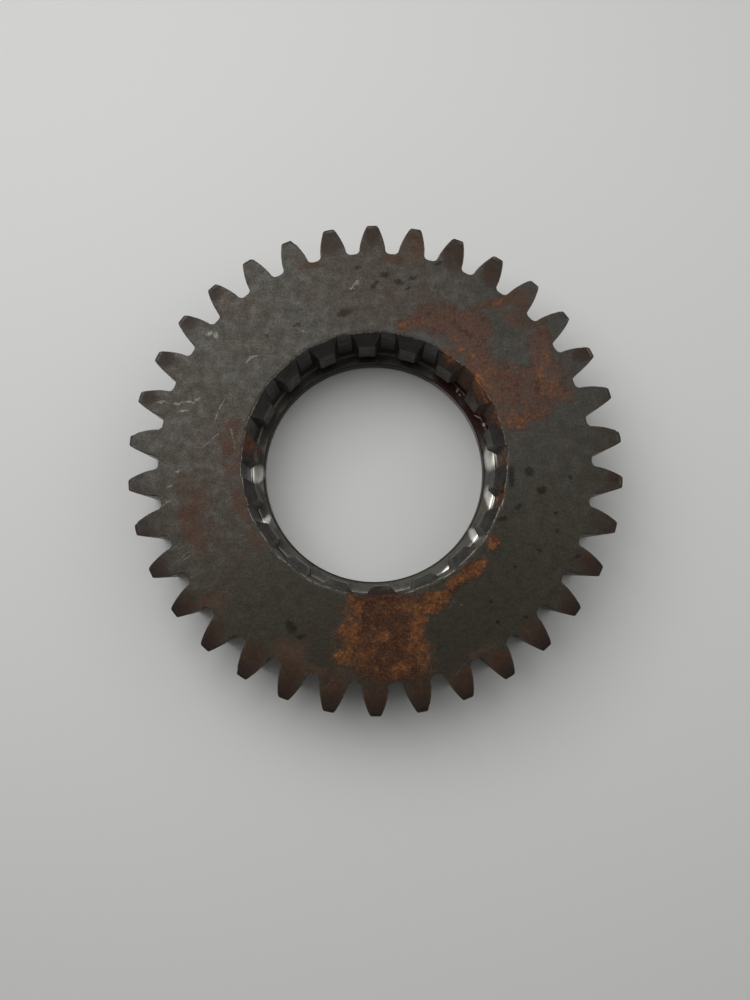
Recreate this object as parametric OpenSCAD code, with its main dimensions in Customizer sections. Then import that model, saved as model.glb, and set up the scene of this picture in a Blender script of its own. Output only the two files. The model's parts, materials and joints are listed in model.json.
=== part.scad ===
// Spur gear wheel with a splined socket.
// The wheel lies flat: its back face is on z = 0, its axis is +Z, and one tooth is centred on +Y.
// The socket opens upwards: a tapered lead-in, 18 internal teeth, a run-out groove, then a
// shoulder with a smooth bore through it. All sizes are in millimetres and degrees.

/* [Rim teeth] */
// Number of teeth round the rim
tooth_count = 34; // [30:1:44]
// Gear module: the pitch diameter divided by the number of teeth
gear_module = 4; // [3.5:0.25:6]
// Pressure angle of the involute flanks
pressure_angle = 20; // [20:0.5:25]
// Width of the toothed rim along the axis
face_width = 30; // [27:1:45]
// How far the end chamfer reaches in from the tooth tips
tip_chamfer_radial = 1.0; // [0.4:0.1:2]
// How far the end chamfer reaches along the tooth
tip_chamfer_axial = 0.8; // [0.3:0.1:2]

/* [Splined socket] */
// Number of internal spline teeth
spline_count = 18; // [12:1:24]
// Diameter over the roots of the spline spaces
spline_root_dia = 77.6; // [76:0.2:78]
// Diameter inside the tips of the spline teeth
spline_tip_dia = 72.3; // [71:0.1:74]
// Width of a spline space at its root
spline_space_root = 4.3; // [3.5:0.1:5]
// Angle of a spline flank from the middle line of its space
spline_flank_angle = 30; // [20:1:35]
// Length of the spline teeth from the front face, lead-in included
spline_length = 19; // [12:0.5:22]
// Turn of the nearest spline tooth from the rim tooth on +Y
spline_clocking = 3; // [0:0.5:20]
// Diameter of the tapered lead-in at the front face
lead_in_dia = 77.0; // [75:0.2:77.4]
// Depth of the tapered lead-in
lead_in_depth = 7.3; // [3:0.1:10]

/* [Shoulder and bore] */
// Diameter of the run-out groove under the spline teeth
groove_dia = 78.4; // [78:0.2:80]
// Thickness of the shoulder at the back of the socket
shoulder_thickness = 4.8; // [3:0.1:6]
// Diameter of the smooth bore through the shoulder
bore_dia = 70.5; // [66:0.5:70.5]
// Chamfer at both ends of the smooth bore
bore_chamfer = 0.5; // [0.2:0.1:1]

/* [Hidden] */
$fn = 180;

pitch_r = gear_module * tooth_count / 2;
tip_r = pitch_r + gear_module;
root_r = pitch_r - 1.25 * gear_module;
base_r = pitch_r * cos(pressure_angle);
fillet_r = 0.375 * gear_module;
flank_start_r = root_r + fillet_r;
tooth_pitch = 360 / tooth_count;
spline_pitch = 360 / spline_count;
flank_steps = 8;
over = 1;

// Involute function, in degrees
function involute(a) = tan(a) * 180 / PI - a;

// Half the angle that a tooth gap spans at radius r; the tooth is half a pitch thick at pitch_r
function half_gap(r) =
    tooth_pitch / 4 - involute(pressure_angle) + involute(acos(min(1, base_r / r)));

// A point on one side of the tooth gap at radius r
function gap_point(r, side) = [r * cos(half_gap(r)), side * r * sin(half_gap(r))];

// Half the width of a spline space at radius r
function half_space(r) =
    spline_space_root / 2 + (spline_root_dia / 2 - r) * tan(spline_flank_angle);

// One gap between two rim teeth: involute flanks that run down into two root fillets
module tooth_gap_2d() {
    radii = [for (i = [0:flank_steps])
        flank_start_r + (tip_r + over - flank_start_r) * i / flank_steps];
    half_root = gap_point(flank_start_r, 1)[1] - fillet_r;
    polygon(concat(
        [for (r = radii) gap_point(r, 1)],
        [for (i = [flank_steps:-1:0]) gap_point(radii[i], -1)]));
    translate([root_r, -half_root]) square([2 * fillet_r, 2 * half_root]);
    for (side = [-1, 1])
        translate([flank_start_r, side * half_root]) circle(r = fillet_r);
}

// One space between two spline teeth: straight flanks and a round root
module spline_space_2d() {
    inner = spline_tip_dia / 2 - over;
    outer = spline_root_dia / 2 + over;
    intersection() {
        circle(d = spline_root_dia);
        polygon([
            [inner, half_space(inner)], [outer, half_space(outer)],
            [outer, -half_space(outer)], [inner, -half_space(inner)]]);
    }
}

// Half section of the turned blank, right of the axis
module blank_section() {
    polygon([
        [tip_r - tip_chamfer_radial, 0],
        [tip_r, tip_chamfer_axial],
        [tip_r, face_width - tip_chamfer_axial],
        [tip_r - tip_chamfer_radial, face_width],
        [lead_in_dia / 2, face_width],
        [spline_tip_dia / 2, face_width - lead_in_depth],
        [spline_tip_dia / 2, face_width - spline_length],
        [groove_dia / 2, face_width - spline_length],
        [groove_dia / 2, shoulder_thickness],
        [bore_dia / 2 + bore_chamfer, shoulder_thickness],
        [bore_dia / 2, shoulder_thickness - bore_chamfer],
        [bore_dia / 2, bore_chamfer],
        [bore_dia / 2 + bore_chamfer, 0]]);
}

// The whole wheel, cut from one steel forging
module gear_wheel() {
    color("dimgray")
    difference() {
        rotate_extrude() blank_section();
        for (i = [0:tooth_count - 1])
            rotate([0, 0, 90 + (i + 0.5) * tooth_pitch])
                translate([0, 0, -over])
                    linear_extrude(face_width + 2 * over) tooth_gap_2d();
        for (i = [0:spline_count - 1])
            rotate([0, 0, 90 + spline_clocking + (i + 0.5) * spline_pitch])
                translate([0, 0, face_width - spline_length - over])
                    linear_extrude(spline_length + 2 * over) spline_space_2d();
    }
}

gear_wheel();
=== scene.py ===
"""Looks of the splined spur gear wheel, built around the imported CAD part.

The wheel is one steel forging, so it is one piece here too. Its mesh is swept row by row round
its section, with the same sizes as the CAD solid, and adds broken edges, fillets and nicks.
Lengths are worked out in millimetres and scaled to metres once, when the mesh is made.
"""

import json
import math

import bpy
import numpy as np
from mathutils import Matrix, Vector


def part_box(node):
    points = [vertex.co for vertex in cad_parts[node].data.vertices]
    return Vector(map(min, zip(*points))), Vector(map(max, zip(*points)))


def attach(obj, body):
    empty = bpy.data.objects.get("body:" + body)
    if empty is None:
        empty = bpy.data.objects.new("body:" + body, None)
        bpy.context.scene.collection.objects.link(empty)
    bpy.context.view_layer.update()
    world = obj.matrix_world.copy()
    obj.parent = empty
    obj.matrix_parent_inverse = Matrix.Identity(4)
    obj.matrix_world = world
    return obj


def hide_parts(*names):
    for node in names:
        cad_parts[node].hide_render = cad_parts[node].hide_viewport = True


MM = 0.001

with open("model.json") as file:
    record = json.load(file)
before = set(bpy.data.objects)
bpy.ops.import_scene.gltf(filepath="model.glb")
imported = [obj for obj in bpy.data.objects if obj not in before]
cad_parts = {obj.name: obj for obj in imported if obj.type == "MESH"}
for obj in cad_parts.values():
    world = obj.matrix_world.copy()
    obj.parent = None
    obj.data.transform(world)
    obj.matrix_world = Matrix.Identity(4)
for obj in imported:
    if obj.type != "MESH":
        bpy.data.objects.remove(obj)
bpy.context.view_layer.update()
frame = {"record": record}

# ---------------------------------------------------------------- driving sizes, in millimetres
LOW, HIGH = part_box("gear_wheel")
MOUNTS = {mount["name"]: mount for mount in frame["record"]["mounts"]}
TOOTH_COUNT = 34
TIP_R = (HIGH.y - LOW.y) / 2 / MM
FACE_WIDTH = (HIGH.z - LOW.z) / MM
GEAR_MODULE = 2 * TIP_R / (TOOTH_COUNT + 2)
PITCH_R = GEAR_MODULE * TOOTH_COUNT / 2
ROOT_R = PITCH_R - 1.25 * GEAR_MODULE
PRESSURE_ANGLE = math.radians(20)
BASE_R = PITCH_R * math.cos(PRESSURE_ANGLE)
FILLET_R = 0.375 * GEAR_MODULE
FLANK_START_R = ROOT_R + FILLET_R
TOOTH_PITCH = 2 * math.pi / TOOTH_COUNT
TIP_CHAMFER_RADIAL = 1.0
TIP_CHAMFER_AXIAL = 0.8

SPLINE_COUNT = 18
SPLINE_PITCH = 2 * math.pi / SPLINE_COUNT
SPLINE_ROOT_R = 38.8
SPLINE_TIP_R = 36.15
SPLINE_SPACE_ROOT = 4.3
SPLINE_FLANK = math.tan(math.radians(30))
SPLINE_LENGTH = 19
SPLINE_CLOCKING = math.radians(3)
LEAD_IN_R = 38.5
LEAD_IN_DEPTH = 7.3
GROOVE_R = 39.2
SHOULDER_TOP = MOUNTS["hub_seat"]["pos_m"][2] / MM
BORE_R = MOUNTS["shoulder_bore"]["dims"]["r_mm"]
BORE_CHAMFER = 0.5

EDGE_BREAK = 0.3
SOCKET_EDGE_BREAK = 0.25
BORE_EDGE_BREAK = 0.12
LEDGE_FILLET = 0.7
TOOTH_CORNER = 0.35
SPLINE_CORNER = 0.4
SPLINE_CORNER_SHARE = 0.3

# Nicks in the rim's front edge: (x, y, reach, depth)
NICKS = (
    (-47, 46.2, 1.5, 0.35),
    (71, 7.6, 1.4, 0.45),
    (-70.6, 8.2, 1.3, 0.35),
    (34.6, 62.2, 1.4, 0.35),
    (-24, 66.9, 1.2, 0.3),
    (-68.6, -18.6, 1.5, 0.4),
    (53.6, -46.5, 1.3, 0.35),
    (14.6, -69.6, 1.3, 0.4),
    (-39.6, -59, 1.2, 0.35),
    (60.4, 37.4, 1.3, 0.3),
)

# ---------------------------------------------------------------- mesh rows
# Every row has the same number of points, so half a rim tooth takes as many steps as there are
# splines, and half a spline tooth takes as many as there are rim teeth.
RING = 2 * SPLINE_COUNT * TOOTH_COUNT
FILLET_POINTS = 6
TOOTH_CORNER_POINTS = 3
FLANK_STEPS = SPLINE_COUNT - FILLET_POINTS - TOOTH_CORNER_POINTS
SPLINE_CORNER_POINTS = 5
SPLINE_ROOT_STEPS = 8
SPLINE_FLANK_STEPS = 8
SPLINE_SIDE_STEPS = SPLINE_FLANK_STEPS + 2 * (SPLINE_CORNER_POINTS - 1)
SPLINE_TIP_STEPS = TOOTH_COUNT - SPLINE_ROOT_STEPS - SPLINE_SIDE_STEPS
RIM_START = math.pi / 2 + TOOTH_PITCH / 2
SPLINE_START = math.pi / 2 + SPLINE_CLOCKING + SPLINE_PITCH / 2
STEP_ANGLE = 2 * math.pi / RING
EVEN_ANGLES = RIM_START + STEP_ANGLE * np.arange(RING)
SPLINE_SHIFT = round((SPLINE_START - RIM_START) / STEP_ANGLE)

# Where the rows lie between the edges: depths are below the front face, heights above the back.
RIM_DEPTHS = (0.52, 0.74, 0.86, 1.3, 3.5, 7, 11, FACE_WIDTH / 2)
FACE_RADII = (41, 51, 61.2)
BORE_HEIGHTS = (BORE_CHAMFER, 1.2, 2.4, 3.6, SHOULDER_TOP - BORE_CHAMFER)
LEDGE_RADII = (BORE_R + BORE_CHAMFER, 36.6, 37.6)
GROOVE_LOW = 7.2
GROOVE_HEIGHTS = (9.6, FACE_WIDTH - SPLINE_LENGTH)
SPLINE_DEPTHS = (16, 13, 10, 7.7, LEAD_IN_DEPTH, 6.9, 5.2, 3.5, 1.9, 0.8, 0.3)
COLLAR_R = SPLINE_ROOT_R + 0.8
EDGE_ROWS = 5
SOCKET_EDGE_ROWS = 3
LEDGE_FILLET_ROWS = 6
SHARP_ANGLE = math.radians(40)

# The zones of rows that are turned steel, inside the socket, on the rim, or worn at an edge.
TURNED_ZONES = ("ledge", "ledge_fillet", "bore")
SOCKET_ZONES = TURNED_ZONES + ("spline", "spline_edge", "groove", "bore_edge")
RIM_ZONES = ("rim", "rim_edge")
EDGE_WEAR = {"rim_edge": 0.3, "spline_edge": 1.0, "bore_edge": 0.5}


def involute(angle):
    return math.tan(angle) - angle


def half_gap(radius):
    """Half the angle that a gap between rim teeth spans at a radius."""
    at_radius = math.acos(min(1.0, BASE_R / radius))
    return TOOTH_PITCH / 4 - involute(PRESSURE_ANGLE) + involute(at_radius)


def polar(radius, angle):
    return np.array((radius * math.cos(angle), radius * math.sin(angle)))


def round_corner(before, corner, after, reach, count):
    """A smooth bend instead of a corner, reaching that far but at most halfway along each side."""
    start = corner + (before - corner) * min(0.5, reach / np.linalg.norm(before - corner))
    end = corner + (after - corner) * min(0.5, reach / np.linalg.norm(after - corner))
    share = np.linspace(0, 1, count)[:, None]
    return (1 - share) ** 2 * start + 2 * share * (1 - share) * corner + share**2 * end


def half_rim(tip_radius):
    """From the middle of a gap to the middle of a tooth, with x along the gap."""
    middle = TOOTH_PITCH / 2
    half_root = FLANK_START_R * math.sin(half_gap(FLANK_START_R)) - FILLET_R
    fillet_centre = np.array((FLANK_START_R, half_root))
    points = [polar(ROOT_R, 0)]
    for turn in np.linspace(math.pi, math.pi / 2, FILLET_POINTS):
        points.append(fillet_centre + polar(FILLET_R, turn))
    flank_radii = np.linspace(FLANK_START_R, tip_radius, FLANK_STEPS + 1)[1:]
    flank = [polar(radius, half_gap(radius)) for radius in flank_radii]
    land = polar(tip_radius, (half_gap(tip_radius) + middle) / 2)
    points += flank[:-1]
    points += list(round_corner(flank[-2], flank[-1], land, TOOTH_CORNER, TOOTH_CORNER_POINTS))
    points.append(polar(tip_radius, middle))
    return np.array(points)


def spline_flank_point(radius):
    """Where the straight flank beside a spline space crosses a circle, with x along the space."""
    offset = SPLINE_SPACE_ROOT / 2 + SPLINE_ROOT_R * SPLINE_FLANK
    slope = 1 + SPLINE_FLANK**2
    x = (offset * SPLINE_FLANK + math.sqrt(slope * radius**2 - offset**2)) / slope
    return np.array((x, offset - x * SPLINE_FLANK))


def half_spline(tip_radius):
    """From the middle of a space to the middle of a spline tooth, with x along the space."""
    root, tip = spline_flank_point(SPLINE_ROOT_R), spline_flank_point(tip_radius)
    height = np.linalg.norm(tip - root)
    reach = min(SPLINE_CORNER, SPLINE_CORNER_SHARE * height)
    root_bend = (tip - root) * reach / height
    root_end = math.atan2(root[1], root[0]) - reach / SPLINE_ROOT_R
    tip_end = math.atan2(tip[1], tip[0]) + reach / tip_radius
    before, after = polar(SPLINE_ROOT_R, root_end), polar(tip_radius, tip_end)
    root_angles = np.linspace(0, root_end, SPLINE_ROOT_STEPS + 1)[:-1]
    points = [polar(SPLINE_ROOT_R, angle) for angle in root_angles]
    points += list(round_corner(before, root, root + root_bend, math.inf, SPLINE_CORNER_POINTS))
    shares = np.linspace(reach / height, 1 - reach / height, SPLINE_FLANK_STEPS + 1)[1:-1]
    points += [root + (tip - root) * share for share in shares]
    points += list(round_corner(tip - root_bend, tip, after, math.inf, SPLINE_CORNER_POINTS))
    tip_angles = np.linspace(tip_end, SPLINE_PITCH / 2, SPLINE_TIP_STEPS + 1)[1:]
    points += [polar(tip_radius, angle) for angle in tip_angles]
    return np.array(points)


def full_ring(half, count, start):
    """Mirrors a half pitch and repeats it round the axis."""
    pitch = 2 * math.pi / count
    radius, angle = np.hypot(half[:, 0], half[:, 1]), np.arctan2(half[:, 1], half[:, 0])
    radius = np.concatenate([radius[:-1], radius[:0:-1]])
    angle = np.concatenate([angle[:-1], pitch - angle[:0:-1]])
    angles = (start + angle[None, :] + pitch * np.arange(count)[:, None]).ravel()
    radii = np.tile(radius, count)
    return np.stack([radii * np.cos(angles), radii * np.sin(angles)], 1)


def grow(ring, distance):
    """Moves an outline out along its normals, or in for a distance below zero."""
    along = np.roll(ring, -1, 0) - np.roll(ring, 1, 0)
    normal = np.stack([along[:, 1], -along[:, 0]], 1)
    return ring + np.reshape(distance, (-1, 1)) * normal / np.linalg.norm(normal, axis=1)[:, None]


def edge_inset(depth, size):
    """How far a broken edge of that size stands back at a depth below its face."""
    if depth >= size:
        return 0.0
    return size - math.sqrt(size**2 - (size - depth) ** 2)


def rim_ring(depth, nicks=()):
    """The rim's outline at a depth below the nearer end face."""
    drop = TIP_CHAMFER_RADIAL * max(0.0, 1 - depth / TIP_CHAMFER_AXIAL)
    ring = full_ring(half_rim(TIP_R - drop), TOOTH_COUNT, RIM_START)
    inset = np.full(RING, edge_inset(depth, EDGE_BREAK))
    for x, y, reach, deep in nicks:
        far = (ring[:, 0] - x) ** 2 + (ring[:, 1] - y) ** 2 + depth**2
        inset += deep * np.maximum(0, 1 - far / reach**2)
    return grow(ring, -inset)


def spline_ring(depth):
    """The socket's outline at a depth below the front face."""
    share = min(1.0, depth / LEAD_IN_DEPTH)
    tip_radius = LEAD_IN_R + (SPLINE_TIP_R - LEAD_IN_R) * share
    to_end = SPLINE_LENGTH - depth
    opening = edge_inset(depth, SOCKET_EDGE_BREAK) + edge_inset(to_end, SOCKET_EDGE_BREAK)
    ring = full_ring(half_spline(tip_radius), SPLINE_COUNT, SPLINE_START)
    radius = np.linalg.norm(ring, axis=1)[:, None]
    return np.roll(ring * (1 + opening / radius), SPLINE_SHIFT, 0)


def circle_ring(radius, angles=EVEN_ANGLES):
    """A circle, with its points evenly round or in line with those of another outline."""
    return np.stack([radius * np.cos(angles), radius * np.sin(angles)], 1)


def angles_of(ring):
    return np.arctan2(ring[:, 1], ring[:, 0])


def edge_depths(size, count):
    """Depths of the rows that round a broken edge, from the face down."""
    return [size * (1 - math.cos(turn)) for turn in np.linspace(0, math.pi / 2, count)]


def rim_rows():
    """The rim, from the front face down to the back face."""
    depths = edge_depths(EDGE_BREAK, EDGE_ROWS) + list(RIM_DEPTHS)
    rows = []
    for depth in depths:
        zone = edge_zone("rim", depth, EDGE_BREAK)
        rows.append((rim_ring(depth, NICKS), FACE_WIDTH - depth, zone))
    for depth in depths[-2::-1]:
        rows.append((rim_ring(depth), depth, edge_zone("rim", depth, EDGE_BREAK)))
    return rows


def bore_rows():
    """The back face inwards, the smooth bore upwards and the shoulder outwards to the groove."""
    rows = [(circle_ring(radius), 0.0, "back") for radius in reversed(FACE_RADII)]
    rows.append((circle_ring(BORE_R + BORE_CHAMFER + BORE_EDGE_BREAK), 0.0, "end"))
    rows.append((circle_ring(BORE_R + BORE_CHAMFER), BORE_EDGE_BREAK, "bore_edge"))
    rows += [(circle_ring(BORE_R), height, "bore") for height in BORE_HEIGHTS]
    rows += [(circle_ring(radius), SHOULDER_TOP, "ledge") for radius in LEDGE_RADII]
    for turn in np.linspace(0, math.pi / 2, LEDGE_FILLET_ROWS):
        radius = GROOVE_R - LEDGE_FILLET * (1 - math.sin(turn))
        height = SHOULDER_TOP + LEDGE_FILLET * (1 - math.cos(turn))
        rows.append((circle_ring(radius), height, "ledge_fillet"))
    rows.append((circle_ring(GROOVE_R), GROOVE_LOW, "groove"))
    return rows


def spline_rows():
    """The groove's upper part, the spline up to the front face, and the face outwards."""
    end_angles = angles_of(spline_ring(SPLINE_LENGTH))
    rows = [(circle_ring(GROOVE_R, end_angles), height, "groove") for height in GROOVE_HEIGHTS]
    breaks = edge_depths(SOCKET_EDGE_BREAK, SOCKET_EDGE_ROWS)
    depths = [SPLINE_LENGTH - depth for depth in breaks] + list(SPLINE_DEPTHS) + breaks[::-1]
    for depth in depths:
        zone = edge_zone("spline", depth, SOCKET_EDGE_BREAK)
        rows.append((spline_ring(depth), FACE_WIDTH - depth, zone))
    rows.append((circle_ring(COLLAR_R, angles_of(spline_ring(0))), FACE_WIDTH, "face"))
    rows += [(circle_ring(radius), FACE_WIDTH, "face") for radius in FACE_RADII]
    return rows


def edge_zone(name, depth, size):
    """The zone of a row: its end face, the broken edge next to that face, or the rest."""
    if depth == 0:
        return "end"
    return name + "_edge" if depth <= size + 1e-6 else name


def wheel_mesh():
    """The rows joined by quads, round the section and back to the start."""
    rows = rim_rows() + bore_rows() + spline_rows()
    count = len(rows)
    co = np.zeros((count, RING, 3))
    for i, (ring, height, _) in enumerate(rows):
        co[i, :, :2] = ring
        co[i, :, 2] = height
    index = np.arange(count * RING).reshape(count, RING)
    right = np.roll(index, -1, 1)
    below, below_right = np.roll(index, -1, 0), np.roll(right, -1, 0)
    quads = np.stack([index, below, below_right, right], -1).reshape(-1, 4)
    mesh = bpy.data.meshes.new("gear_wheel_mesh")
    mesh.from_pydata((co.reshape(-1, 3) * MM).tolist(), [], quads.tolist())
    mesh.update()
    slots = np.repeat([int(zone in TURNED_ZONES) for _, _, zone in rows], RING)
    mesh.polygons.foreach_set("material_index", slots.astype(np.int32))
    add_zone_values(mesh, rows)
    mesh.polygons.foreach_set("use_smooth", np.ones(len(quads), bool))
    mesh.set_sharp_from_angle(angle=SHARP_ANGLE)
    return mesh


def add_zone_values(mesh, rows):
    """Per point: how worn an edge it is, and whether it is inside the socket or on the rim."""
    for name, values in (
        ("edge_wear", [EDGE_WEAR.get(zone, 0.0) for _, _, zone in rows]),
        ("in_socket", [float(zone in SOCKET_ZONES) for _, _, zone in rows]),
        ("on_rim", [float(zone in RIM_ZONES) for _, _, zone in rows]),
    ):
        attribute = mesh.attributes.new(name, "FLOAT", "POINT")
        attribute.data.foreach_set("value", np.repeat(values, RING).astype(np.float32))


# ---------------------------------------------------------------- marks on the steel
# Every mark is (x, y, reach along, reach across, turn in degrees), in millimetres, seen from
# the front with the axis at the origin. A reach is where the mark has about half faded.
RUST_PATCHES = (
    # beside the socket, upper right
    (13, 41.5, 5, 2.2, 15),
    (22, 42, 8.5, 4.6, -14),
    (29, 38, 6.5, 6, -45),
    (35, 46.8, 4.5, 1.6, 8),
    (34, 27, 7.5, 8.5, -30),
    (46, 22, 10, 7.2, 15),
    (50, 33, 2.6, 7, 8),
    (44, 13.5, 7.5, 3, 15),
    (56, 19.5, 3, 2.5, 0),
    # below the socket, with an arm that runs along it to the right
    (2, -42.5, 9, 5, 0),
    (3, -51, 11, 7.5, 0),
    (5, -58, 10, 4, 0),
    (16.5, -40.5, 4.5, 2.8, 10),
    (22, -36.8, 3.2, 1.1, 38),
    (27.4, -31.6, 4.4, 1.9, 38),
    (34, -24.2, 2, 1.4, 60),
)
CLEAN_ISLANDS = (
    (41.5, 37, 4.6, 7, -30),
    (44, 32, 4, 3, 0),
    (19, -47, 4.4, 3.6, 0),
)
ORANGE_RUST = (
    (22.8, 31.4, 1.9, 1.1, -30),
    (27.5, 32.2, 4.5, 1.5, -48),
    (33, 24.5, 5.5, 2.2, -62),
    (38, 15.5, 4.6, 2.4, -55),
    (41.5, 11, 3.4, 1.6, 15),
    (12, 40.4, 4, 1.2, 12),
    (50.4, 27, 7.5, 2, -72),
    (37, 47.2, 1.3, 1, 0),
    (41, 41.2, 2.4, 0.9, -50),
    (-6.3, -41, 1.3, 3.6, 15),
    (-7.4, -49, 2, 4.6, 0),
    (-6.6, -55.3, 4, 2, 8),
    (13.5, -41.8, 4.5, 1.7, 0),
    (19.2, -39.5, 1.6, 2.2, 0),
    (11.8, -47.5, 1.7, 5, -10),
    (13.3, -54, 1.6, 2.6, 0),
    (7, -58.6, 2.6, 1.3, 40),
    (1.5, -50.5, 1.6, 0.8, 20),
    (22.5, -35, 2.8, 1, 38),
    (29.6, -30.6, 2.4, 1.1, 38),
    (33.6, -24, 1.8, 1.2, 60),
)
RED_FILM = (
    (-40.5, 5, 3, 6, 0),
    (-38.7, -12.5, 1.8, 4, 20),
    (-33, -23.5, 3, 1.6, -45),
    (-52, -14.5, 3.4, 8, 8),
    (-46, -39, 3, 1.6, 20),
    (-47.5, -43, 2.5, 3, 0),
    (-25, -55, 4, 3, 0),
    (-17.5, -59.4, 4, 1.3, -15),
    (-9, -61.5, 3, 2, 0),
    (7.5, 61.4, 3.4, 1.3, -5),
    (12.6, 65.5, 2.4, 4.5, -10),
    (43.2, 49.6, 2.6, 1.4, 30),
    (-45.2, 47.5, 1.6, 3, 10),
    (-18, 60, 3, 0.9, 15),
    (29.5, -54.2, 2.6, 1, 25),
    (35, -57.5, 3.4, 2.4, -58),
    (25, -62.5, 3, 3, -70),
    (44.5, 45, 3, 5, 45),
)
BROWN_ZONES = (
    (5, 54, 17, 8, 0),
    (-47, -12, 9, 20, 10),
    (-14, -49, 5, 7, 0),
)
DARK_STAINS = (
    (-8.5, 44.5, 2, 1, 20),
    (-22.8, 41, 1.2, 0.45, 15),
    (-31.5, 37.7, 0.5, 0.5, 0),
    (20, 59.5, 1.2, 0.6, 20),
    (8, 54, 1.5, 0.7, -15),
    (12, 55, 1.2, 0.6, 20),
    (10.5, 51.7, 1, 0.4, 20),
    (3.5, 56.3, 1.5, 0.8, 0),
    (-4.5, 58.5, 1.1, 0.5, 10),
    (0.5, 53, 1.4, 0.6, 60),
    (-23.7, -47.2, 1.3, 1.9, 30),
    (-21, -50, 1.5, 0.6, 10),
    (44.8, -3.5, 1.25, 1.25, 0),
    (48.3, -8.8, 1.35, 1.1, 0),
    (52, -15.5, 0.6, 0.6, 0),
    (52.3, -20.5, 0.6, 0.4, 0),
    (47, -26, 0.5, 0.4, 0),
    (56.5, -5, 0.6, 0.6, 0),
    (39.7, -30.5, 0.5, 0.4, 0),
    (33, -40.4, 0.5, 0.4, 0),
    (34.5, -46, 0.7, 0.7, 0),
    (42.5, -44.8, 0.6, 0.5, 0),
    (36.7, -17, 1.6, 0.6, 10),
    (39.6, -5, 0.8, 3, 0),
    (57.6, -27.7, 0.9, 0.5, 30),
    (41.5, -13.5, 0.9, 0.5, 40),
)
TOOTH_STAINS = (
    (69.6, -5, 2, 1.8, 0),
    (62.5, -30.5, 4.4, 2.6, -25),
    (56.8, -42.4, 2.6, 2, -37),
    (45.8, -50.5, 4.6, 3.6, -48),
    (36, -58.5, 4, 3.4, -58),
    (25.6, -63.5, 4, 3.6, -68),
    (13, -66.5, 4.5, 3.6, -79),
    (0, -67, 4.8, 3.6, 90),
    (-13, -66, 5, 3.6, 79),
    (-25.4, -62.5, 5, 3.6, 68),
    (-36, -57, 5, 3.6, 58),
    (-47, -49.5, 4, 3.2, 48),
    (-55, -41, 3.6, 3, 37),
    (-13, 67, 3.6, 3, -79),
    (0, 69, 2.2, 3, 0),
    (25.5, 63, 4.6, 3.4, 68),
    (37, 57, 4, 3, 57),
    (62, 31.5, 3, 2, 27),
    (-62.5, 31.5, 3.4, 2.2, -27),
    (-55.5, 43, 3, 2.4, -38),
    (-48, 51, 2.6, 2.2, -47),
    (-67, 19.5, 2.6, 2, -16),
)
PALE_SCUFFS = (
    (-5, 53.6, 0.9, 0.5, 40),
    (-6.2, 52.2, 0.7, 0.3, 30),
    (-57.3, 17.5, 1.3, 0.22, 10),
    (-54, 17.9, 1.3, 0.25, -10),
    (-56, 15.2, 1.4, 0.2, 4),
    (-52, 18.6, 0.8, 0.3, 40),
    (-36.8, 30.7, 0.9, 0.3, 55),
    (-35, 31.6, 0.8, 0.2, 20),
    (-48.5, 38.6, 1, 0.5, 20),
    (-46.6, 38, 0.5, 0.8, 0),
    (-57.3, -2.7, 0.9, 0.18, 15),
    (-59.4, -7, 0.8, 0.14, 20),
    (-59.6, -11.6, 0.8, 0.14, 40),
    (-62.7, 17.9, 1.5, 0.14, 0),
    (24.5, -41, 0.35, 0.18, 30),
)
# Each scratch is (x, y, x, y) from end to end. The hairlines are a stretched noise.
SCRATCH_HALF_WIDTH = 0.07
HAIRLINE_TURN = math.radians(-38)
HAIRLINE_SCALE = (0.12, 2.6, 1)
SCRATCHES = (
    (-49.5, 4.8, -44.3, 9.4),
    (-46.6, 12.2, -45.3, 15.8),
    (-45.3, 15.8, -43.7, 18.8),
    (-41.9, 10.2, -41.1, 6.8),
    (-40.9, 6.6, -40.5, 4),
    (-22.2, 40, -19.8, 38.5),
    (-57.2, -29.3, -53.8, -26.4),
    (-55.6, -28.8, -52.6, -26.9),
    (-58.5, -25.5, -56.5, -23.9),
    (32.3, -53.2, 35.2, -50.8),
    (21.8, -61.3, 24.6, -58.2),
    (-13.6, -63.6, -11, -60.6),
    (40, 26.7, 43, 27.8),
    (-63.5, -13.8, -60.5, -12.2),
)
# Marks inside the socket.
SOCKET_RUST = (
    (23.4, 31, 2.2, 1.6, -35),
    (27.6, 27.6, 2.4, 1.6, -45),
    (32.6, 20.6, 4, 1.8, -60),
    (37.4, 12.5, 3, 1.4, -70),
    (-37.6, 6, 2, 2.4, 0),
    (38.8, 2, 1.4, 2.6, 0),
    (37.6, -10.5, 1.4, 2.6, 17),
)
# Painted highlights on the turned shoulder, where its rings catch the light at about 9 and 4 o'clock.
LEDGE_HIGHLIGHT_SPOTS = (
    (-37.5, -0.5, 1.8, 2.4, 0),
    (37.4, 4.6, 1.6, 3.6, -5),
    (37.6, -8.8, 1.8, 3.2, 12),
    (32.6, -21.8, 1.4, 3, 34),
    (24, -31.3, 2.6, 1, 38),
    (-34.6, -16.2, 1, 2, -25),
)
WET_STAINS = (
    (26, 28, 7, 5, -46),
    (33.5, 18, 8, 4.5, -64),
)
# Painted glints on the wet rust: small pale specks that stand in for highlights on oil.
WET_GLINT_SPOTS = (
    (27.4, 26.3, 0.7, 0.3, 60),
    (28, 24.9, 0.5, 0.3, -40),
    (35.6, 14.9, 0.4, 0.5, 0),
    (33.7, 17.5, 1.2, 0.2, -30),
)


def tone(red, green, blue):
    """A display colour as the linear colour a shader takes."""
    shares = (c / 255 for c in (red, green, blue))
    return (*(s / 12.92 if s <= 0.04045 else ((s + 0.055) / 1.055) ** 2.4 for s in shares), 1.0)


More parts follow.
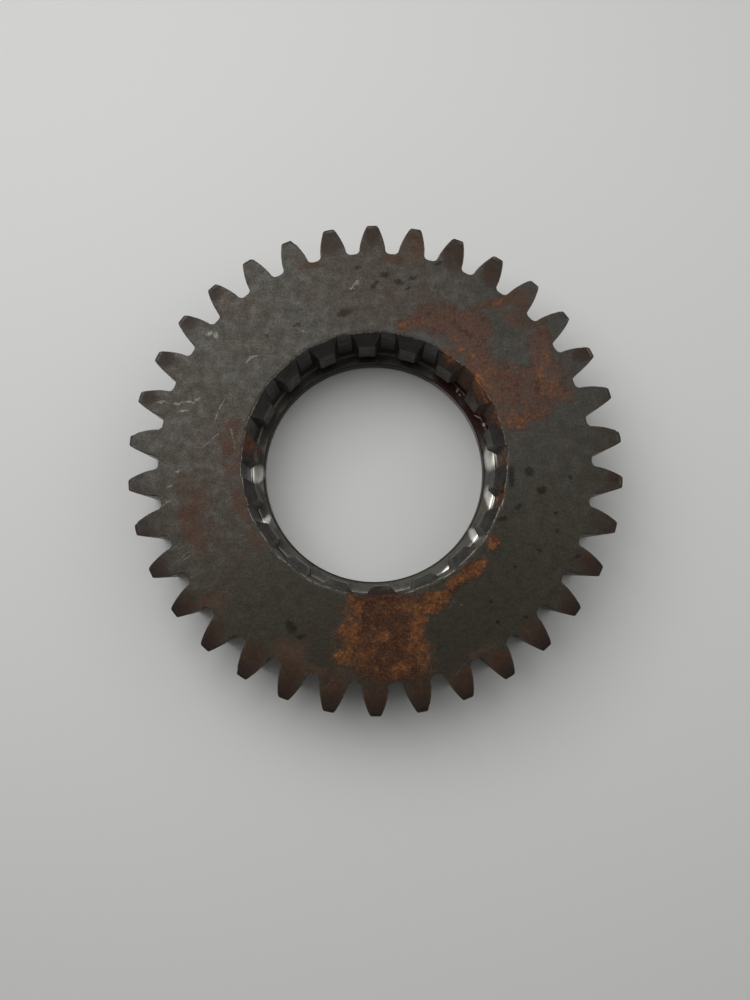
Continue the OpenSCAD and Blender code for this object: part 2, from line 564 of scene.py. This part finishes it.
STEEL = tone(56, 53, 46)
STEEL_PALE = tone(64, 62, 58)
STEEL_OLIVE = tone(59, 57, 46)
STEEL_BARE = tone(150, 145, 136)
BROWN_FILM = tone(66, 53, 44)
RUST_FILM = tone(83, 57, 42)
STAIN = tone(28, 22, 16)
TIP_STAIN = tone(45, 24, 9)
TIP_DARK = tone(31, 17, 10)
# Dark oily grime together with painted shade, for the socket and the bore wall.
SOOT_AND_SHADE = tone(29, 26, 19)
WET_RUST = tone(58, 26, 16)
SCUFF = STEEL_BARE
# Colour of the painted glints on the wet rust.
PAINTED_WET_GLINT = tone(215, 200, 190)
LEDGE_STEEL = tone(108, 105, 98)
# Near-white painted highlight colour for the shoulder's bright spots.
LEDGE_HIGHLIGHT = tone(236, 232, 224)
RUST_PINK = tone(99, 67, 53)
RUST_SPECK = tone(204, 138, 86)
RUST_DARK = tone(54, 29, 12)
RUST_TONES = (
    (0.0, tone(48, 27, 18)),
    (0.3, tone(84, 53, 35)),
    (0.55, tone(116, 74, 46)),
    (0.78, tone(152, 92, 48)),
    (1.0, tone(208, 140, 82)),
)


class Graph:
    """Short calls that add nodes to a material or world and give back their output sockets."""

    def __init__(self, owner):
        owner.use_nodes = True
        self.owner = owner
        self.tree = owner.node_tree

    def put(self, kind, values, output=0, **settings):
        node = self.tree.nodes.new(kind)
        for name, value in settings.items():
            setattr(node, name, value)
        for name, value in values.items():
            self.feed(node.inputs[name], value)
        return node.outputs[output]

    def feed(self, socket, value):
        if isinstance(value, bpy.types.NodeSocket):
            self.tree.links.new(value, socket)
        else:
            socket.default_value = value

    def math(self, operation, a, b=0.0, clamp=False):
        return self.put("ShaderNodeMath", {0: a, 1: b}, operation=operation, use_clamp=clamp)

    def times(self, *factors):
        product = factors[0]
        for factor in factors[1:]:
            product = self.math("MULTIPLY", product, factor)
        return product

    def plus(self, *terms):
        total = terms[0]
        for term in terms[1:]:
            total = self.math("ADD", total, term)
        return total

    def minus(self, a, b):
        """a less b, kept between 0 and 1."""
        return self.math("SUBTRACT", a, b, clamp=True)

    def either(self, a, b):
        return self.math("MAXIMUM", a, b)

    def sway(self, noise, size):
        """A noise from 0 to 1 as a swing to both sides of 0."""
        return self.times(self.math("SUBTRACT", noise, 0.5), size)

    def vector(self, operation, a, b=(0, 0, 0), output=0):
        return self.put("ShaderNodeVectorMath", {0: a, 1: b}, output, operation=operation)

    def step(self, value, low, high, start=0.0, end=1.0):
        """A smooth step of value from start at low to end at high."""
        values = {0: value, 1: low, 2: high, 3: start, 4: end}
        return self.put("ShaderNodeMapRange", values, interpolation_type="SMOOTHSTEP")

    def noise(self, point, scale, detail=2.0, roughness=0.5, output="Fac"):
        values = {"Vector": point, "Scale": scale, "Detail": detail, "Roughness": roughness}
        return self.put("ShaderNodeTexNoise", values, output)

    def mix(self, share, a, b):
        """Colour a turning into colour b. The colour sockets of this node are 6, 7 and 2."""
        values = {0: share, 6: a, 7: b}
        return self.put("ShaderNodeMix", values, 2, data_type="RGBA")

    def ramp(self, value, stops):
        """Colours along a value from 0 to 1."""
        node = self.tree.nodes.new("ShaderNodeValToRGB")
        self.feed(node.inputs[0], value)
        elements = node.color_ramp.elements
        for position, _ in stops[2:]:
            elements.new(position)
        for element, (position, colour) in zip(elements, stops):
            element.position, element.color = position, colour
        return node.outputs[0]

    def attribute(self, name):
        return self.put("ShaderNodeAttribute", {}, "Fac", attribute_name=name)

    def oval(self, spot, mark, soft):
        """1 inside an oval mark and 0 outside it, with a soft rim. The spot is (x, y, 1)."""
        x, y, along, across, turn = mark
        cos, sin = math.cos(math.radians(turn)), math.sin(math.radians(turn))
        along_axis = (cos / along, sin / along, -(x * cos + y * sin) / along)
        across_axis = (-sin / across, cos / across, (x * sin - y * cos) / across)
        u = self.vector("DOT_PRODUCT", spot, along_axis, "Value")
        v = self.vector("DOT_PRODUCT", spot, across_axis, "Value")
        values = {0: v, 1: v, 2: self.math("MULTIPLY", u, u)}
        squared = self.put("ShaderNodeMath", values, operation="MULTIPLY_ADD")
        return self.step(squared, (1 - soft) ** 2, (1 + soft) ** 2, 1.0, 0.0)

    def marks(self, spot, marks, soft):
        """The union of a list of oval marks."""
        union = self.oval(spot, marks[0], soft)
        for mark in marks[1:]:
            union = self.either(union, self.oval(spot, mark, soft))
        return union

    def bump(self, relief, strength):
        """Feeds the shader's normal with a relief given in millimetres."""
        values = {"Height": relief, "Distance": MM, "Strength": strength}
        normal = self.put("ShaderNodeBump", values, "Normal")
        self.feed(self.tree.nodes["Principled BSDF"].inputs["Normal"], normal)

    def moved(self, spot, point, scale, distance):
        """The spot moved about by noise, so that a mark's rim comes out ragged."""
        shift = self.noise(point, scale, 4.0, 0.6, "Color")
        shift = self.vector("SUBTRACT", shift, (0.5, 0.5, 0.5))
        shift = self.vector("MULTIPLY", shift, (2 * distance, 2 * distance, 0))
        return self.vector("ADD", spot, shift)


def as_oval(scratch, half_width):
    """A scratch as a long thin oval mark."""
    x0, y0, x1, y1 = scratch
    along = math.hypot(x1 - x0, y1 - y0) / 2
    turn = math.degrees(math.atan2(y1 - y0, x1 - x0))
    return ((x0 + x1) / 2, (y0 + y1) / 2, along, half_width, turn)


class Place:
    """Where a point of the wheel is, in millimetres. Its spot is (x, y, 1), for the marks."""

    def __init__(self, g):
        self.g = g
        metres = g.put("ShaderNodeTexCoord", {}, "Object")
        self.point = g.vector("MULTIPLY", metres, (1 / MM,) * 3)
        self.flat = g.vector("MULTIPLY", self.point, (1, 1, 0))
        self.spot = g.vector("ADD", self.flat, (0, 0, 1))
        self.radius = g.vector("LENGTH", self.flat, output="Value")
        self.height = g.vector("DOT_PRODUCT", self.point, (0, 0, 1), "Value")

    def along(self, x, y):
        """How far the point is from the axis in the direction (x, y), where y is north."""
        return self.g.vector("DOT_PRODUCT", self.flat, (x, y, 0), "Value")


class AgedSteel(Place):
    """Dark forged steel, built up in layers that each cover some of the colour so far."""

    def __init__(self, g):
        super().__init__(g)
        # shares from 0 to 1: the zones of the mesh, and how far to the front or the south
        self.in_socket = g.attribute("in_socket")
        self.on_rim = g.attribute("on_rim")
        self.edge = g.attribute("edge_wear")
        self.front = g.step(self.height, 10, 24)
        self.south = g.step(self.along(0, -1), -10, 45, 0.05, 0.95)
        self.olive = g.step(self.along(0.3, -0.95), -10, 55)
        # noises from broad to fine
        self.broad = g.noise(self.point, 0.05, 3.0)
        self.blend = g.noise(self.point, 0.17, 9.0, 0.74)
        self.cloud = g.noise(self.point, 0.3, 5.0, 0.65)
        self.crust = g.noise(self.point, 1.1, 4.0, 0.7)
        self.grain = g.noise(self.point, 2.4, 3.0, 0.6)
        # the spot for large marks and for small ones
        self.ragged = g.moved(self.spot, self.point, 0.35, 2.4)
        self.near = g.moved(self.spot, self.point, 0.9, 1.1)

    def cover(self, share, colour):
        """Lays a colour over the steel, by a share from 0 to 1."""
        self.colour = self.g.mix(share, self.colour, colour)

    def lay_steel(self):
        """Pale grey in the north and olive in the south, with darker clouds."""
        g = self.g
        self.colour = g.mix(self.olive, STEEL_PALE, STEEL_OLIVE)
        self.cover(g.step(self.broad, 0.35, 0.65, 0.0, 0.6), STEEL)
        cloudy = g.step(self.olive, 0.0, 1.0, 0.1, 0.33)
        self.cover(g.times(g.step(self.cloud, 0.45, 0.72), cloudy), STAIN)
        self.cover(g.step(self.cloud, 0.5, 0.3, 0.0, 0.03), SCUFF)

    def lay_films(self):
        """Thin brown and red films: in their places on the front, and at random on the back."""
        g = self.g
        red = g.times(g.marks(self.ragged, RED_FILM, 0.9), g.step(self.blend, 0.34, 0.62), self.front)
        self.back_film = g.times(g.step(self.broad, 0.48, 0.62), g.step(self.height, 20, 4))
        self.film = g.either(red, g.times(self.back_film, 0.6))
        brown = g.times(g.marks(self.ragged, BROWN_ZONES, 0.95), g.step(self.cloud, 0.38, 0.62))
        brown = g.times(brown, self.front, 0.4)
        brown = g.plus(g.times(g.step(self.blend, 0.48, 0.72), 0.5), brown)
        self.cover(brown, BROWN_FILM)
        self.cover(g.times(self.film, 0.75), RUST_FILM)

    def rust_share(self, glow):
        """Where rust lies: whole in the middle of a patch and broken up towards its rim."""
        g = self.g
        island = g.times(g.marks(self.ragged, CLEAN_ISLANDS, 0.7), 0.9)
        patch = g.minus(g.marks(self.ragged, RUST_PATCHES, 0.6), island)
        patch = g.either(g.times(patch, self.front), g.times(glow, 0.85))
        patch = g.either(patch, g.times(g.step(self.blend, 0.56, 0.66), self.back_film))
        broken = g.plus(g.sway(self.blend, 1.5), g.sway(self.crust, 0.8), g.sway(self.grain, 0.5))
        whole = g.step(self.olive, 0.0, 0.3, 1.4, 0.95)
        share = g.step(g.plus(patch, broken), 0.1, whole)
        return g.times(share, g.step(patch, 0.0, 0.25))

    def rust_colour(self, glow):
        """From dark brown to orange with the noise and the glow, and pinker in the north."""
        g = self.g
        warmth = g.step(g.noise(self.point, 0.45, 8.0, 0.72), 0.3, 0.7, 0.0, 0.6)
        warmth = g.plus(warmth, g.times(glow, 0.33), g.sway(self.crust, 0.9))
        warmth = g.times(warmth, g.step(self.olive, 0.0, 0.3, 0.9, 1.0))
        warmth = g.plus(warmth, g.times(self.socket_rust, 0.25))
        pink = g.times(g.step(self.olive, 0.3, 0.0, 0.0, 0.9), g.step(self.cloud, 0.68, 0.44))
        colour = g.mix(pink, g.ramp(warmth, RUST_TONES), RUST_PINK)
        colour = g.mix(g.times(self.olive, 0.6), colour, RUST_DARK)
        speck = g.times(g.step(self.grain, 0.55, 0.68), g.step(warmth, 0.35, 0.75), 0.6)
        return g.mix(speck, colour, RUST_SPECK)

    def lay_rust(self):
        """Thick rust in the south, and a thinner veil of it in the north."""
        g = self.g
        glow = g.times(g.marks(self.ragged, ORANGE_RUST, 0.95), self.front)
        inner = g.times(g.marks(self.near, SOCKET_RUST, 0.8), self.in_socket)
        self.socket_rust = g.times(inner, g.step(self.cloud, 0.36, 0.54))
        self.rust = self.rust_share(glow)
        self.rust_tone = self.rust_colour(glow)
        thick = g.step(self.olive, 0.0, 0.3, 0.0, 0.94)
        veil = g.either(thick, g.step(self.cloud, 0.35, 0.6, 0.62, 0.94))
        self.cover(g.times(self.rust, veil), self.rust_tone)

    def lay_tooth_stains(self):
        """Brown stains on the rim teeth, strongest in the south and faint in the north-west."""
        g = self.g
        ragged_radius = g.plus(self.radius, g.times(self.blend, 9.0))
        tips = g.step(ragged_radius, TIP_R - 4.5, TIP_R + 2.5, 0.0, self.south)
        self.tips = g.either(tips, g.times(g.marks(self.near, TOOTH_STAINS, 0.6), self.front))
        east = g.step(self.along(1, 0), -20, 20, 0.5, 0.9)
        stained = g.times(self.tips, g.either(g.step(self.olive, 0.0, 0.35), east))
        self.cover(g.times(stained, g.step(self.blend, 0.32, 0.62, 0.6, 0.97)), TIP_STAIN)
        red = g.times(self.tips, g.step(self.cloud, 0.46, 0.6))
        self.cover(g.times(red, g.step(self.radius, TIP_R, TIP_R - 10, 0.1, 0.42)), RUST_FILM)

    def lay_dark_stains(self):
        """Small oily spots on the front face."""
        g = self.g
        stain = g.times(g.marks(self.near, DARK_STAINS, 0.45), self.front, 0.85)
        self.cover(g.times(stain, g.step(self.crust, 0.3, 0.6, 0.4, 1.0)), STAIN)

    def lay_scuffs(self):
        """Pale scuffs, cut scratches and faint hairlines that all lean one way."""
        g = self.g
        scuff = g.times(g.marks(self.near, PALE_SCUFFS, 0.6), g.step(self.grain, 0.35, 0.6))
        cut = g.marks(self.spot, [as_oval(s, SCRATCH_HALF_WIDTH) for s in SCRATCHES], 0.8)
        cut = g.times(cut, g.step(self.crust, 0.3, 0.6), g.step(self.olive, 0.0, 1.0, 0.7, 0.35))
        lean = {"Vector": self.point, "Rotation": (0, 0, HAIRLINE_TURN), "Scale": HAIRLINE_SCALE}
        streak = g.noise(g.put("ShaderNodeMapping", lean), 1.0, 3.0, 0.7)
        hairline = g.times(g.step(streak, 0.66, 0.72), g.step(self.cloud, 0.45, 0.6), 0.25)
        bright = g.either(g.times(g.either(scuff, cut), self.front), hairline)
        self.cover(g.times(bright, g.minus(1.0, self.in_socket), 0.55), SCUFF)

    def lay_rim_wear(self):
        """Flanks polished by the mating teeth, bare tips, and dark tip edges in the south."""
        g = self.g
        band = g.times(self.on_rim, g.step(self.cloud, 0.65, 0.4))
        band = g.times(band, g.step(self.radius, PITCH_R - 3.5, PITCH_R - 1.5))
        band = g.times(band, g.step(self.radius, TIP_R - 0.2, TIP_R - 1.6))
        band = g.times(band, g.step(self.height, 1.5, 4))
        self.band = g.times(band, g.step(self.height, FACE_WIDTH - 1.5, FACE_WIDTH - 4))
        self.cover(g.times(self.band, 0.45), STEEL_BARE)
        land = g.times(self.on_rim, g.step(self.radius, TIP_R - 0.3, TIP_R - 0.1))
        land = g.times(land, g.step(self.height, FACE_WIDTH - 1, FACE_WIDTH - 1.6))
        self.cover(g.times(land, g.step(self.cloud, 0.5, 0.64), 0.3), STEEL_BARE)
        tip_edge = g.times(g.step(self.radius, TIP_R - 6, TIP_R - 1), self.south, 0.95)
        self.tip_edge = g.times(tip_edge, g.step(self.blend, 0.22, 0.48))
        self.cover(self.tip_edge, TIP_DARK)

    def lay_socket_grime_and_shade(self):
        """Oily grime and painted shade: the socket is darker all over, with rust of its own."""
        self.cover(self.g.times(self.in_socket, 0.72), SOOT_AND_SHADE)
        self.cover(self.g.times(self.socket_rust, 0.85), self.rust_tone)

    def lay_worn_edges(self):
        """Broken edges rubbed bare here and there, but not where they are rusty or stained."""
        g = self.g
        worn = g.times(self.edge, g.step(self.crust, 0.3, 0.55))
        worn = g.times(worn, g.step(self.blend, 0.42, 0.54, 0.15, 1.0))
        self.worn = g.times(worn, g.minus(1.0, g.either(self.rust, self.tip_edge)))
        self.cover(self.worn, STEEL_BARE)

    def mottle(self):
        """Fine light and dark flecks over everything, strongest on the rust."""
        g = self.g
        on_rust = g.step(self.olive, 0.0, 0.3, 1.1, 2.4)
        contrast = g.plus(g.times(g.either(self.rust, self.socket_rust), on_rust), 0.9)
        fleck = g.plus(g.times(g.sway(self.grain, -1.0), contrast), 1.0)
        fleck = g.times(fleck, g.step(self.crust, 0.3, 0.7, 0.86, 1.16))
        values = {0: self.colour, "Scale": fleck}
        self.colour = g.put("ShaderNodeVectorMath", values, operation="SCALE")

    def surface(self):
        """Feeds the shader: rust and stains are dull and rough, worn steel is smooth."""
        g = self.g
        shader = g.tree.nodes["Principled BSDF"]
        shader.inputs["Specular IOR Level"].default_value = 0.25
        g.feed(shader.inputs["Base Color"], self.colour)
        dull = g.either(g.either(self.rust, g.times(self.film, 0.5)), self.socket_rust)
        dull = g.either(dull, g.times(self.tips, 0.5))
        matt = g.either(g.times(self.tips, 0.3), g.times(self.tip_edge, 0.8))
        metal = g.minus(0.72, g.times(dull, 0.72))
        g.feed(shader.inputs["Metallic"], g.minus(metal, matt))
        rough = g.step(self.cloud, 0.3, 0.7, 0.36, 0.52)
        rough = g.plus(rough, g.sway(self.grain, 0.3), g.times(dull, 0.45))
        rough = g.minus(rough, g.times(g.either(self.worn, self.band), 0.12))
        g.feed(shader.inputs["Roughness"], rough)
        crusty = g.times(self.rust, g.plus(g.times(self.crust, 0.16), 0.03))
        dents = g.times(g.noise(self.point, 0.8, 3.0), 0.05)
        relief = g.plus(g.times(self.grain, 0.03), dents, crusty)
        g.bump(relief, 0.9)


def aged_steel():
    steel = AgedSteel(Graph(bpy.data.materials.new("aged_gear_steel")))
    steel.lay_steel()
    steel.lay_films()
    steel.lay_rust()
    steel.lay_tooth_stains()
    steel.lay_dark_stains()
    steel.lay_scuffs()
    steel.lay_rim_wear()
    steel.lay_socket_grime_and_shade()
    steel.lay_worn_edges()
    steel.mottle()
    steel.surface()
    return steel.g.owner


def turned_steel():
    """The shoulder and the smooth bore: bright turned steel with fine rings and some wet rust,
    painted highlights and glints on the shoulder, and the bore wall dark with grime and painted
    shade.
    """
    g = Graph(bpy.data.materials.new("turned_steel"))
    at = Place(g)
    cloud = g.noise(at.point, 0.35, 4.0, 0.6)
    grain = g.noise(at.point, 2.4, 3.0, 0.6)
    rings = g.noise(g.put("ShaderNodeCombineXYZ", {"X": at.radius}), 3.2, 4.0, 0.8)
    ledge = g.step(at.radius, BORE_R + 0.05, BORE_R + 0.25)
    # The bore wall takes the dark grime and painted shade colour.
    colour = g.mix(ledge, SOOT_AND_SHADE, LEDGE_STEEL)
    colour = g.mix(g.step(rings, 0.4, 0.65, 0.0, 0.45), colour, STEEL)
    colour = g.mix(g.step(cloud, 0.5, 0.7, 0.0, 0.5), colour, STEEL)
    wet = g.marks(g.moved(at.spot, at.point, 0.5, 1.5), WET_STAINS, 0.4)
    colour = g.mix(g.times(wet, 0.92), colour, WET_RUST)
    # Painted highlight spots on the shoulder, kept off the wet rust.
    painted_highlight = g.marks(g.moved(at.spot, at.point, 0.5, 0.5), LEDGE_HIGHLIGHT_SPOTS, 0.5)
    colour = g.mix(g.times(painted_highlight, g.minus(1.0, wet)), colour, LEDGE_HIGHLIGHT)
    # Painted glints on the wet rust.
    glint = g.times(g.marks(at.spot, WET_GLINT_SPOTS, 0.4), g.step(grain, 0.35, 0.5))
    colour = g.mix(glint, colour, PAINTED_WET_GLINT)

    shader = g.tree.nodes["Principled BSDF"]
    g.feed(shader.inputs["Base Color"], colour)
    g.feed(shader.inputs["Metallic"], g.minus(1.0, g.times(wet, 0.8)))
    rough = g.plus(0.24, g.times(cloud, 0.12))
    g.feed(shader.inputs["Roughness"], g.minus(rough, g.times(wet, 0.2)))
    shader.inputs["Anisotropic"].default_value = 0.75
    shader.inputs["Anisotropic Rotation"].default_value = 0.25
    tangent = g.put("ShaderNodeTangent", {}, direction_type="RADIAL", axis="Z")
    g.feed(shader.inputs["Tangent"], tangent)
    g.bump(g.plus(g.times(rings, 0.02), g.times(grain, wet, 0.12)), 0.6)
    return g.owner


def floor_paint():
    g = Graph(bpy.data.materials.new("pale_floor"))
    shader = g.tree.nodes["Principled BSDF"]
    shader.inputs["Base Color"].default_value = FLOOR_COLOUR
    shader.inputs["Roughness"].default_value = FLOOR_ROUGHNESS
    return g.owner


def add_wheel():
    """The one piece of the looks, which stands for the CAD node."""
    wheel = bpy.data.objects.new("forged_gear_wheel", wheel_mesh())
    bpy.context.scene.collection.objects.link(wheel)
    wheel.data.materials.append(aged_steel())
    wheel.data.materials.append(turned_steel())
    even_normals = wheel.modifiers.new("even_normals", "WEIGHTED_NORMAL")
    even_normals.keep_sharp = True
    even_normals.weight = 100
    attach(wheel, "root")
    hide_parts("gear_wheel")


# ---------------------------------------------------------------- floor, light and camera
# Here places and sizes are in metres.
FLOOR_REACH = 1.5
FLOOR_DROP = 0.0002
FLOOR_COLOUR = (0.74, 0.74, 0.725, 1)
FLOOR_ROUGHNESS = 0.9
HORIZON_LIGHT = 0.32
SOUTH_LIGHT = 0.075
NORTH_LIGHT = 0.33
LAMP_SIZE = 0.4
# Each lamp is (name, place, power in watts). The lamps point at the origin.
LAMPS = (
    ("near_window", (-0.17, 0.18, 0.43), 1.35),
    ("far_window", (0.24, 0.12, 0.42), 0.45),
)
# The camera's turn is in degrees, its lens and sensor are in millimetres, and its shift is a
# share of the picture's longer side.
CAMERA_PLACE = (-0.00054, -0.03069, 0.26024)
CAMERA_TURN = (7.4624, 1.1979, -0.2394)
CAMERA_LENS = 28.8
CAMERA_SENSOR = 36
CAMERA_SHIFT = (0.01915, -0.03723)
CAMERA_NEAR = 0.01


def add_floor():
    mesh = bpy.data.meshes.new("floor_mesh")
    corners = [(-1, -1), (1, -1), (1, 1), (-1, 1)]
    points = [(x * FLOOR_REACH, y * FLOOR_REACH, -FLOOR_DROP) for x, y in corners]
    mesh.from_pydata(points, [], [(0, 1, 2, 3)])
    mesh.materials.append(floor_paint())
    floor = bpy.data.objects.new("floor", mesh)
    bpy.context.scene.collection.objects.link(floor)


def add_sky():
    """Pale light all round the horizon; overhead it is brighter to the north than to the south."""
    world = bpy.data.worlds.new("studio")
    bpy.context.scene.world = world
    g = Graph(world)
    direction = g.put("ShaderNodeTexCoord", {}, "Generated")
    north = g.vector("DOT_PRODUCT", direction, (0, 1, 0), "Value")
    overhead = g.step(north, -0.5, 0.6, SOUTH_LIGHT, NORTH_LIGHT)
    height = g.vector("DOT_PRODUCT", direction, (0, 0, 1), "Value")
    background = g.tree.nodes["Background"]
    g.feed(background.inputs["Strength"], g.step(height, 0.25, 0.75, HORIZON_LIGHT, overhead))
    background.inputs["Color"].default_value = (1, 1, 1, 1)


def add_lamps():
    for name, place, energy in LAMPS:
        lamp = bpy.data.lights.new(name, "AREA")
        lamp.shape = "SQUARE"
        lamp.size = LAMP_SIZE
        lamp.energy = energy
        lamp_object = bpy.data.objects.new(name, lamp)
        lamp_object.location = place
        lamp_object.rotation_euler = (-lamp_object.location).to_track_quat("-Z", "Y").to_euler()
        bpy.context.scene.collection.objects.link(lamp_object)


def add_camera():
    camera_data = bpy.data.cameras.new("camera")
    camera_data.sensor_width = CAMERA_SENSOR
    camera_data.lens = CAMERA_LENS
    camera_data.shift_x, camera_data.shift_y = CAMERA_SHIFT
    camera_data.clip_start = CAMERA_NEAR
    camera = bpy.data.objects.new("camera", camera_data)
    camera.location = CAMERA_PLACE
    camera.rotation_euler = [math.radians(a) for a in CAMERA_TURN]
    bpy.context.scene.collection.objects.link(camera)
    bpy.context.scene.camera = camera


add_wheel()
add_floor()
add_sky()
add_lamps()
add_camera()
bpy.context.scene.view_settings.view_transform = "Standard"
